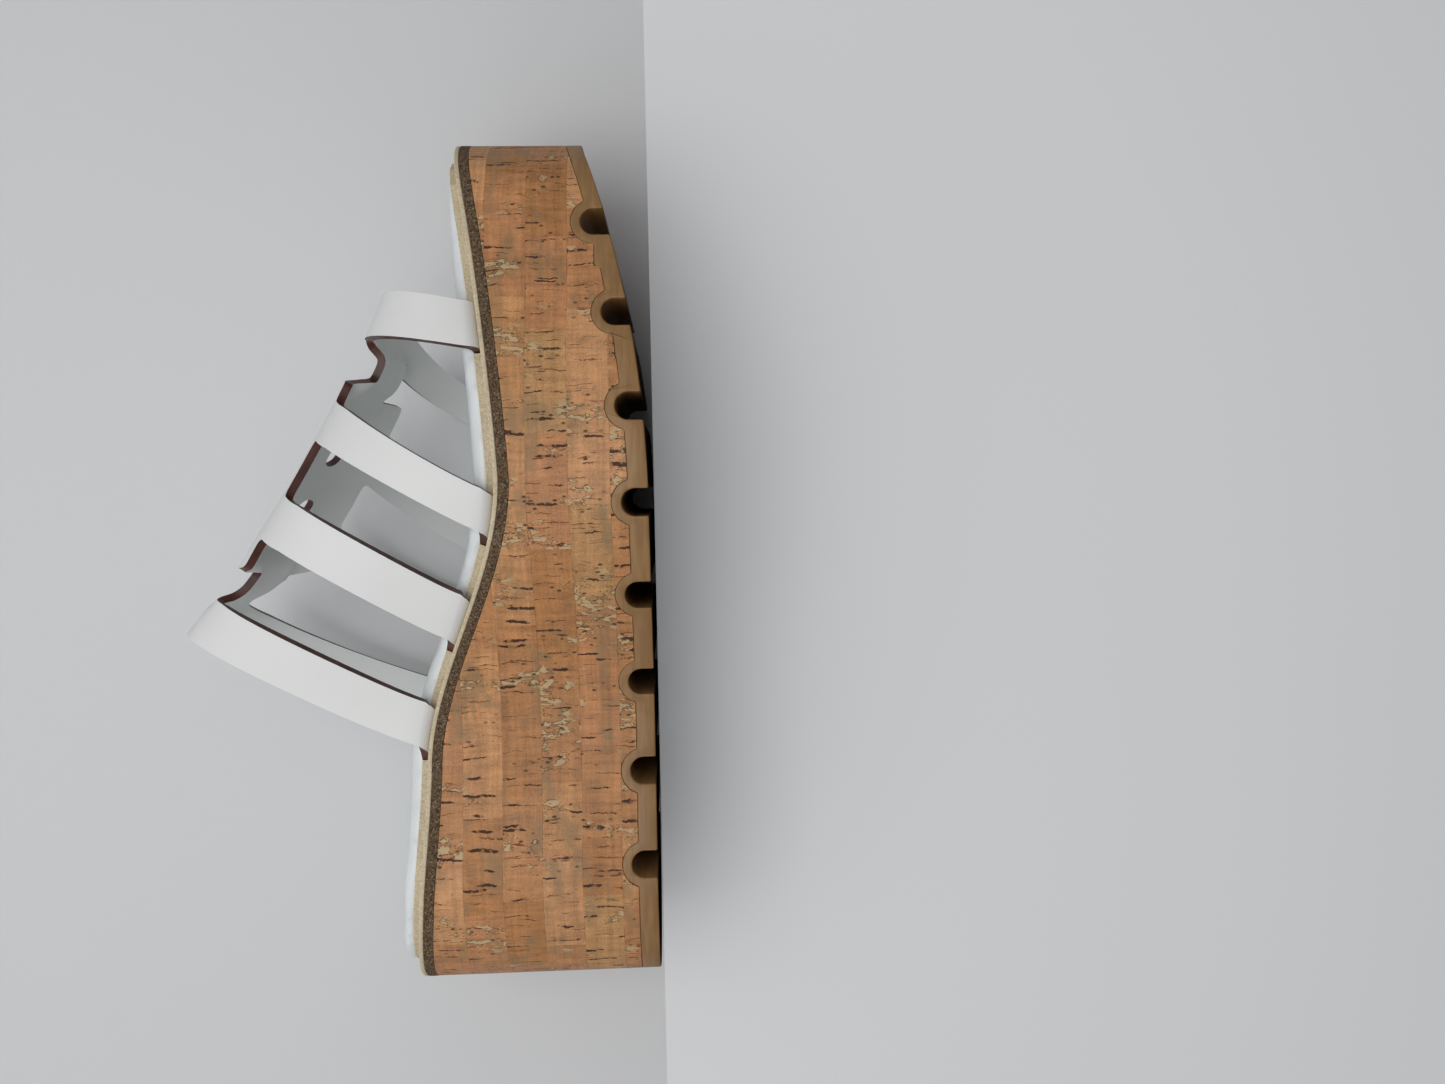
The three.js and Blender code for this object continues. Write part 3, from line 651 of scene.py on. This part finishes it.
def treadLine():  # underside from heel to toe, through every groove
    clear = sole["grooveWidth"] / 2 + 2 * mm
    plain = [x for x in steps(-halfLength, halfLength, sole["treadGap"])
             if all(abs(x - m) > clear for m in grooves)]
    plain += [-halfLength - sole["past"], halfLength + sole["past"]]
    line = []
    for x in sorted(plain + grooves):
        line += grooveWall(x) if x in grooves else [(x, soleBottom(x))]
    return line


def crownLine():  # top of the rubber from toe to heel
    reach = sole["grooveWidth"] / 2 + sole["grooveWall"] + 0.7 * mm
    ends = [-halfLength - sole["past"], halfLength + sole["past"]]
    marks = [x for x in steps(*ends, sole["crownGap"]) if all(abs(x - m) > reach for m in grooves)]
    for middle in grooves:
        marks += steps(middle - reach, middle + reach, sole["humpGap"])
    return [(x, soleCrown(x)) for x in sorted(marks + ends, reverse=True)]


def makeOutsole():
    line = treadLine() + crownLine()
    piece = loopPiece("soleRubber", [(x, -sole["halfWidth"], z) for x, z in line])
    extrudeAll(piece, (0, 2 * sole["halfWidth"], 0))
    radius = sole["grooveWidth"] / 2
    loop = [(x, y, -0.02) for x, y, _ in outlineLoop(sole["corners"])
            if all(abs(abs(x - m) - radius) > 0.8 * mm for m in grooves)]
    prism = loopPiece("soleOutline", loop)
    extrudeAll(prism, (0, 0, 0.08))
    modify(piece, "BOOLEAN", operation="INTERSECT", solver="EXACT", object=prism)
    bpy.data.objects.remove(prism)
    modify(piece, "BEVEL", width=sole["lipRound"], segments=3, limit_method="ANGLE",
           angle_limit=math.radians(40), use_clamp_overlap=False, miter_outer="MITER_ARC")
    finishPiece(piece, ["outsole"], [rubber])


print("outsole start")
makeOutsole()

# cork wrap
wrap = {"thickness": 1.2 * mm, "seam": 0.06 * mm, "corners": 2400, "rows": 6, "boards": 4.28 * mm}


def makeCorkWrap():
    loop = outlineLoop(wrap["corners"])
    piece = loopPiece("corkWrap", [(x, y, 0) for x, y, _ in loop], filled=False)
    extrudeAll(piece, (0, 0, 1))
    length = loop[-1][2] + loop[1][2]
    layer = piece.data.uv_layers.new(name="veneer")
    for face in piece.data.polygons:
        runs = [loop[i % wrap["corners"]][2] for i in face.vertices]
        closing = max(runs) - min(runs) > length / 2
        for index, run in zip(face.loop_indices, runs):
            layer.data[index].uv = (run + length if closing and run < length / 2 else run, 0)
    sliceAt(piece, 2, [i / wrap["rows"] for i in range(1, wrap["rows"])])
    for vertex in piece.data.vertices:
        x, share = vertex.co.x, vertex.co.z
        vertex.co.z = (soleCrown(x) + wrap["seam"]) * (1 - share) + (boardTop(x) - wrap["boards"]) * share
    layer = piece.data.uv_layers["veneer"]
    for corner in piece.data.loops:
        layer.data[corner.index].uv.y = piece.data.vertices[corner.vertex_index].co.z
    modify(piece, "SOLIDIFY", thickness=wrap["thickness"], offset=-1)
    finishPiece(piece, ["cork_wrap"], [cork])


print("cork wrap start")
makeCorkWrap()

# boards
boards = {
    "topThickness": 1.3 * mm, "midThickness": 2.75 * mm, "seam": 0.08 * mm, "rim": 0.3 * mm,
    "rawness": 0.16 * mm, "fibre": 0.7 * mm,
}


def roughenWall(piece, depth, size):  # a raw cut edge is never quite even
    for vertex in piece.data.vertices:
        if abs(vertex.normal.z) < 0.8:
            swing = noise.noise(vertex.co / size) + 0.5 * noise.noise(vertex.co / (size * 0.4))
            vertex.co += vertex.normal * swing * depth


def makeBoards():
    top = boards["topThickness"]
    lowest = top + boards["seam"] + boards["midThickness"]
    brown = layerPiece("brownBoardEdge", lambda x: boardTop(x) - lowest,
                       lambda x: boardTop(x) - top - boards["seam"], corners=1100, rows=5)
    roughenWall(brown, boards["rawness"], boards["fibre"])
    finishPiece(brown, ["midsole_board"], [brownBoard], 60)
    cream = layerPiece("creamInsoleBoard", lambda x: boardTop(x) - top, boardTop, corners=700, rows=1)
    modify(cream, "BEVEL", width=boards["rim"], segments=3, limit_method="ANGLE",
           angle_limit=math.radians(50), use_clamp_overlap=False)
    finishPiece(cream, ["insole_board"], [creamBoard])


print("boards start")
makeBoards()

# footbed
pad = {
    "inset": 4.0 * mm, "foot": 0.5 * mm, "height": 6.1 * mm, "toeHeight": 4.6 * mm, "voxel": 2.0 * mm,
    "push": 0.8 * mm, "frames": 20, "recess": 2.9 * mm, "lip": 2.4 * mm,
    "thinFrom": 70 * mm, "thinTo": 122 * mm, "rim": 2.2 * mm, "pressure": 4, "quality": 4,
}


def padTop(x):
    thin = ease(pad["thinFrom"], pad["thinTo"], x)
    return boardTop(x) + pad["height"] * (1 - thin) + pad["toeHeight"] * thin


def inflatePad(piece):  # the padding swells its leather cover, by no more than the push
    before = [v.co.copy() for v in piece.data.vertices]
    makeActive(piece)
    bpy.ops.object.modifier_add(type="CLOTH")
    cloth = piece.modifiers[-1]
    cloth.settings.use_pressure = True
    cloth.settings.uniform_pressure_force = pad["pressure"]
    cloth.settings.effector_weights.gravity = 0
    cloth.settings.quality = pad["quality"]
    scene = bpy.context.scene
    for number in range(1, pad["frames"] + 1):
        scene.frame_set(number)
    swollen = piece.evaluated_get(bpy.context.evaluated_depsgraph_get())
    after = [v.co.copy() for v in swollen.data.vertices]
    piece.modifiers.remove(cloth)
    scene.frame_set(1)
    for vertex, old, new in zip(piece.data.vertices, before, after):
        move = new - old
        vertex.co = old + move * min(1, pad["push"] / max(move.length, 1e-9))


def makeFootbed():
    piece = layerPiece("footbedPad", lambda x: boardTop(x) + pad["foot"], padTop,
                       inset=pad["inset"], corners=300)
    modify(piece, "BEVEL", width=pad["rim"], segments=4, limit_method="ANGLE",
           angle_limit=math.radians(50), use_clamp_overlap=False)
    modify(piece, "REMESH", mode="VOXEL", voxel_size=pad["voxel"])
    inflatePad(piece)
    modify(piece, "CORRECTIVE_SMOOTH", iterations=4, use_only_smooth=True)
    modify(piece, "SUBSURF", levels=1, render_levels=1)
    loop = outlineLoop(900)
    xs = np.array([p[0] for p in loop])
    ys = np.array([p[1] for p in loop])
    marks = [p[2] for p in loop]
    places = piece.data.attributes.new("rollPlace", "FLOAT_VECTOR", "POINT")
    for vertex in piece.data.vertices:
        x, y = vertex.co.x, vertex.co.y
        gaps = np.hypot(xs - x, ys - y)
        nearest = int(np.argmin(gaps))
        inwards = gaps[nearest] - pad["inset"] + pad["push"]
        rise = vertex.co.z - boardTop(x)
        places.data[vertex.index].vector = (marks[nearest], max(inwards, 0), rise)
        under = ease(4.2 * mm, 3.0 * mm, rise) * ease(pad["lip"], pad["lip"] + 1.5 * mm, inwards)
        vertex.co.z += under * max(pad["recess"] - rise, 0)
        vertex.co.z = max(vertex.co.z, boardTop(x) + 0.05 * mm)
    finishPiece(piece, ["sock_lining", "footbed_foam"], [footbedLeather], 180)


print("footbed start")
makeFootbed()

# upper
upper = {
    "toeOpening": 30.2 * mm, "instepOpening": 86 * mm, "crestBow": 0.34, "spineShift": 3.5 * mm,
    "spineNarrow": 20 * mm, "spineWide": 42 * mm, "wideOut": 2 * mm, "sag": 6.2 * mm,
    "sagReach": 6.8 * mm, "sagShift": 2 * mm,
    "skew": 2 * mm, "slotShift": 9 * mm, "slotWidth": 8 * mm, "slotLength": 15 * mm, "tab": 10 * mm,
    "bend": 2 * mm, "edgeInset": 0.1 * mm, "half": 1.17 * mm, "glue": 0.3 * mm, "innerSweep": 2.3,
    "outerSweep": 1.35, "wideFront": 0.713, "wideRear": 0.496, "slots": [0.656, 0.557], "span": 70 * mm,
    "power": 2.2, "cell": 1.3 * mm, "rimRound": 0.35 * mm, "stepRun": 0.9 * mm, "stepRound": 1.8 * mm,
    "armRoom": 10 * mm, "cornerRound": 4.6 * mm, "startRound": 2.4 * mm, "stopRound": 3 * mm,
    "tabFold": 4 * mm, "sagPower": 4, "sagFull": 1.1, "sagGone": 2.0, "slotEnd": 0.6,
}
bands = [
    {"crest": 0.793, "inner": 0.771, "outer": 0.673, "widths": (12.9 * mm, 13 * mm, 11.5 * mm)},
    {"crest": 0.678, "inner": 0.573, "outer": 0.506, "widths": (11.5 * mm, 11.4 * mm, 11.2 * mm)},
    {"crest": 0.57, "inner": 0.455, "outer": 0.41, "widths": (12 * mm, 13 * mm, 12 * mm)},
    {"crest": 0.45, "inner": 0.328, "outer": 0.304, "widths": (11.5 * mm, 13 * mm, 12.5 * mm)},
]
span = upper["span"]
bendLength = upper["bend"] * math.pi / 2
patternEnd = span + bendLength + upper["tab"]


def crestZ(x):  # height of the arch's top line
    front = stationX(bands[0]["crest"]) + bands[0]["widths"][0] / 2
    rear = stationX(bands[3]["crest"]) - bands[3]["widths"][0] / 2
    frontZ = boardTop(front) + upper["toeOpening"]
    rearZ = boardTop(rear) + upper["instepOpening"]
    t = (front - x) / (front - rear)
    return frontZ + (rearZ - frontZ) * ((1 - upper["crestBow"]) * t + upper["crestBow"] * t * t)


def spineDip(x, across):  # the narrow lengths of the spine sag between the bands and the wide part
    front = (stationX(upper["wideFront"]) + stationX(bands[0]["crest"]) - bands[0]["widths"][0] / 2) / 2
    rear = (stationX(upper["wideRear"]) + stationX(bands[3]["crest"]) + bands[3]["widths"][0] / 2) / 2
    dips = (front - upper["sagShift"], rear + upper["sagShift"])
    depth = sum(math.exp(-(((x - dip) / upper["sagReach"]) ** upper["sagPower"])) for dip in dips)
    free = abs(across - acrossAt(x, upper["spineShift"]))
    narrow = acrossAt(x, upper["spineNarrow"] / 2)
    fading = ease(narrow * upper["sagFull"], narrow * upper["sagGone"], free)
    return upper["sag"] * depth * (1 - fading)


def upperPlace(x, across):  # flat pattern to the arch over the foot; past the span, the lasted tab
    side = -1 if across < 0 else 1
    foot = boardTop(x) + upper["glue"] + upper["half"] + upper["bend"]
    edge = edgeY(x, side) - side * (upper["edgeInset"] + upper["half"])
    past = abs(across) - span
    if past <= 0:
        turn = math.pi / 2 * (1 - abs(across) / span)
        y = edge * max(math.cos(turn), 0) ** (2 / upper["power"])
        rise = (crestZ(x) - foot) * math.sin(turn) ** (2 / upper["power"])
        return Vector((x, y, foot + rise - spineDip(x, across)))
    turn = min(past / upper["bend"], math.pi / 2)
    flat = max(past - bendLength, 0)
    y = edge - side * (upper["bend"] * (1 - math.cos(turn)) + flat)
    return Vector((x, y, foot - upper["bend"] * math.sin(turn)))


def acrossAt(x, distance):  # pattern coordinate of a point that far from the middle line
    side = -1 if distance < 0 else 1
    half = abs(edgeY(x, side)) - upper["edgeInset"] - upper["half"]
    share = min(abs(distance) / half, 1) ** (upper["power"] / 2)
    return side * span * math.asin(share) / (math.pi / 2)


def bandEdge(band, end, across):  # x of a band's front (+1) or rear (-1) edge
    inner = across < 0
    crest = stationX(band["crest"]) + end * band["widths"][0] / 2
    foot = stationX(band["inner" if inner else "outer"]) + end * band["widths"][1 if inner else 2] / 2
    sweep = upper["innerSweep"] if inner else upper["outerSweep"]
    share = abs(across) / span
    if share <= 1:
        return crest + (foot - crest) * share ** sweep
    return foot + (foot - crest) * sweep * (share - 1)


def spineEdge(x, side):
    shift = -side * upper["skew"]
    wide = stationX(upper["wideRear"]) + shift < x < stationX(upper["wideFront"]) + shift
    width = upper["spineWide"] if wide else upper["spineNarrow"]
    extra = upper["wideOut"] if wide and side > 0 else 0
    return acrossAt(x, upper["spineShift"] + side * width / 2 + extra)


def meeting(band, end, side):  # where a band's edge leaves the spine
    across = 0.0
    for _ in range(12):
        across = spineEdge(bandEdge(band, end, across), side)
    return (bandEdge(band, end, across), across)


def halfPattern(side, middle):  # outline of the pattern on one side: (x, across, corner reach)
    places = [(bandEdge(bands[0], 1, middle), middle, 0)]
    for i, band in enumerate(bands):
        start, stop = meeting(band, 1, side), meeting(band, -1, side)
        far = [side * a for a in steps(abs(start[1]) + upper["armRoom"], patternEnd, 3 * mm)]
        back = [side * a for a in steps(abs(stop[1]) + upper["armRoom"], patternEnd, 3 * mm)]
        far, back = far + [side * patternEnd], back + [side * patternEnd]
        places.append((*start, upper["startRound"] if i else 0))
        places += [(bandEdge(band, 1, a), a, 0) for a in far]
        places += [(bandEdge(band, -1, a), a, 0) for a in reversed(back)]
        if i == len(bands) - 1:
            places.append((*stop, 0))
            break
        places.append((*stop, upper["cornerRound"] if i == 0 and side < 0 else upper["stopRound"]))
        shift = -side * upper["skew"]
        for share in (upper["wideFront"], upper["wideRear"]):
            step = stationX(share) + shift
            if meeting(bands[i + 1], 1, side)[0] < step < stop[0]:
                ends = (step + upper["stepRun"], step - upper["stepRun"])
                places += [(x, spineEdge(x, side), upper["stepRound"]) for x in ends]
    places.append((bandEdge(bands[-1], -1, middle), middle, 0))
    for share in reversed(upper["slots"]):
        x, radius = stationX(share), upper["slotWidth"] / 2
        wide = (acrossAt(x, upper["slotShift"] + radius) - acrossAt(x, upper["slotShift"] - radius)) / 2
        end = radius * upper["slotEnd"]
        bow = upper["slotLength"] / 2 - end
        turns = [math.pi / 2 * i / 6 for i in range(7)]
        for t in turns:
            places.append((x - bow - end * math.cos(t), middle + side * wide * math.sin(t), 0))
        for t in reversed(turns):
            places.append((x + bow + end * math.cos(t), middle + side * wide * math.sin(t), 0))
    return places


def roundCorners(places):
    rounded = []
    count = len(places)
    for i, (x, across, reach) in enumerate(places):
        here = Vector((x, across))
        if not reach:
            rounded.append(here)
            continue
        before = Vector(places[i - 1][:2]) - here
        after = Vector(places[(i + 1) % count][:2]) - here
        a = here + before * min(reach / before.length, 0.5)
        c = here + after * min(reach / after.length, 0.5)
        for j in range(6):
            t = j / 5
            rounded.append(a * (1 - t) ** 2 + here * 2 * t * (1 - t) + c * t * t)
    return rounded


def makeUpperSheet():
    middle = sum(acrossAt(stationX(s), upper["slotShift"]) for s in upper["slots"]) / 2
    halves = []
    for side in (-1, 1):
        outline = roundCorners(halfPattern(side, middle))
        halves.append(loopPiece("upperHalf", [(p.x, p.y, 0) for p in outline]))
    makeActive(halves[0])
    halves[1].select_set(True)
    bpy.ops.object.join()
    sheet = bpy.context.object
    folds = [span + bendLength * i / 3 for i in range(4)] + [span + bendLength + upper["tabFold"]]
    ribs = steps(-span, span, upper["cell"]) + folds + [-fold for fold in folds]
    lows = [v.co.x for v in sheet.data.vertices]
    sliceAt(sheet, 0, steps(min(lows), max(lows), upper["cell"]))
    sliceAt(sheet, 1, ribs)
    makeActive(sheet)
    bpy.ops.object.mode_set(mode="EDIT")
    bpy.ops.mesh.select_all(action="SELECT")
    bpy.ops.mesh.remove_doubles(threshold=0.02 * mm)
    bpy.ops.mesh.normals_make_consistent(inside=False)
    bpy.ops.object.mode_set(mode="OBJECT")
    if sheet.data.polygons[0].normal.z < 0:
        sheet.data.flip_normals()
    for vertex in sheet.data.vertices:
        vertex.co = upperPlace(vertex.co.x, vertex.co.y)
    return sheet


def roundRim(piece):  # rounds the painted edge where it meets the face that shows
    makeActive(piece)
    bpy.ops.object.mode_set(mode="EDIT")
    mesh = bmesh.from_edit_mesh(piece.data)
    for part in list(mesh.verts) + list(mesh.edges) + list(mesh.faces):
        part.select = False
    for edge in mesh.edges:
        kinds = sorted(face.material_index for face in edge.link_faces)
        edge.select = kinds == [0, 1]
    mesh.select_flush_mode()
    bmesh.update_edit_mesh(piece.data)
    bpy.ops.mesh.bevel(offset=upper["rimRound"], segments=3, affect="EDGES", material=1)
    bpy.ops.object.mode_set(mode="OBJECT")


def makeUpper():
    sheet = makeUpperSheet()
    copy = sheet.copy()
    copy.data = sheet.data.copy()
    bpy.context.collection.objects.link(copy)
    looks = ((sheet, "upperOuterLeather", 1, whiteLeather, "upper_leather"),
             (copy, "upperLiningLeather", -1, liningLeather, "lining_leather"))
    for piece, name, offset, leather, slotName in looks:
        piece.name = piece.data.name = name
        piece.data.materials.clear()
        for material in (leather, edgePaint, leather):
            piece.data.materials.append(material)
        if offset < 0:
            piece.data.flip_normals()
        modify(piece, "SOLIDIFY", thickness=upper["half"], offset=1, use_even_offset=True,
               material_offset=2, material_offset_rim=1)
        roundRim(piece)
        finishPiece(piece, ["upper_leather" if offset > 0 else "upper_lining"], [], 45)


print("upper start")
makeUpper()

# CAD nodes that stay, inside
for nodeName, material in (("wedge_core", coreFoam), ("strap_filler", fillerBoard)):
    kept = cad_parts[nodeName]
    kept.data.materials.clear()
    kept.data.materials.append(material)

# stage, light and camera
stage = {
    "size": 4.0, "wall": 46.5 * mm, "floorDrop": 0.05 * mm, "grey": (0.74, 0.745, 0.755, 1),
    "floorBounce": 0.4, "wallBounce": 0.6, "skyStrength": 0.5, "sky": (0.93, 0.95, 0.97, 1),
    "aim": (0, 0, 0.06),
}
eye = {
    "place": (25.07 * mm, -341.35 * mm, -6.5 * mm), "turn": 3.25, "tilt": 2.6, "roll": 0.0215,
    "lens": 27, "sensor": 36,
}
lamps = [
    {"name": "keyPanel", "place": (0.02, -0.66, 0.2), "size": 0.5, "power": 1.65,
     "colour": (1.0, 0.985, 0.965)},
    {"name": "fillPanel", "place": (-0.6, -0.9, 0.6), "size": 1.2, "power": 2.4, "colour": (0.96, 0.98, 1.0)},
    {"name": "backPanel", "place": (0.3, 1.3, 1.2), "size": 1.4, "power": 8, "colour": (1.0, 1.0, 1.0)},
]


def stageMaterial(name, bounce):  # pale, seen only from its front, and duller in the light it throws back
    material, tree, shader = newMaterial(name, Roughness=0.8, Specular_IOR_Level=0.2)
    place = objectPlace(tree)
    pale = drifted(tree, place, stage["grey"], 3.0, 0.01)
    seen = put(tree, "ShaderNodeLightPath").outputs["Is Camera Ray"]
    link(tree, shader, Base_Color=blendColour(tree, seen, (bounce, bounce, bounce, 1), pale))
    clear = put(tree, "ShaderNodeBsdfTransparent")
    behind = put(tree, "ShaderNodeNewGeometry").outputs["Backfacing"]
    choice = put(tree, "ShaderNodeMixShader", {0: behind, 1: shader.outputs[0], 2: clear.outputs[0]})
    tree.links.new(choice.outputs[0], tree.nodes["Material Output"].inputs["Surface"])
    return material


def makeStage():
    sheets = (("floor", (0, 0, -stage["floorDrop"]), 0, stage["floorBounce"]),
              ("backdrop", (0, stage["wall"], 0), 90, stage["wallBounce"]))
    for name, place, turn, bounce in sheets:
        bpy.ops.object.select_all(action="DESELECT")
        bpy.ops.mesh.primitive_plane_add(size=stage["size"], location=place,
                                         rotation=(math.radians(turn), 0, 0))
        sheet = bpy.context.object
        sheet.name = name
        sheet.data.materials.append(stageMaterial(name + "Paper", bounce))


def makeLamps():
    for lamp in lamps:
        light = bpy.data.lights.new(lamp["name"], "AREA")
        light.size, light.energy, light.color = lamp["size"], lamp["power"], lamp["colour"]
        holder = bpy.data.objects.new(lamp["name"], light)
        bpy.context.collection.objects.link(holder)
        holder.location = lamp["place"]
        aim = Vector(stage["aim"]) - Vector(lamp["place"])
        holder.rotation_euler = aim.to_track_quat("-Z", "Y").to_euler()
    world = bpy.data.worlds.new("studio")
    bpy.context.scene.world = world
    world.use_nodes = True
    sky = world.node_tree.nodes["Background"].inputs
    sky[0].default_value, sky[1].default_value = stage["sky"], stage["skyStrength"]


def makeCamera():
    turn, tilt = math.radians(eye["turn"]), math.radians(eye["tilt"])
    level, down = Vector((-math.sin(turn), math.cos(turn), 0)), Vector((0, 0, -1))
    toeward = Vector((math.cos(turn), math.sin(turn), 0))
    forward = level * math.cos(tilt) + down * math.sin(tilt)
    across = down * math.cos(tilt) - level * math.sin(tilt)
    right = across * math.cos(eye["roll"]) - toeward * math.sin(eye["roll"])
    up = toeward * math.cos(eye["roll"]) + across * math.sin(eye["roll"])
    data = bpy.data.cameras.new("mainCamera")
    data.lens, data.sensor_width, data.clip_start = eye["lens"], eye["sensor"], 0.01
    camera = bpy.data.objects.new("mainCamera", data)
    bpy.context.collection.objects.link(camera)
    turned = Matrix((right, up, -forward)).transposed().to_4x4()
    camera.matrix_world = Matrix.Translation(eye["place"]) @ turned
    bpy.context.scene.camera = camera


print("stage start")
makeStage()
makeLamps()
makeCamera()
bpy.context.scene.view_settings.view_transform = "Standard"
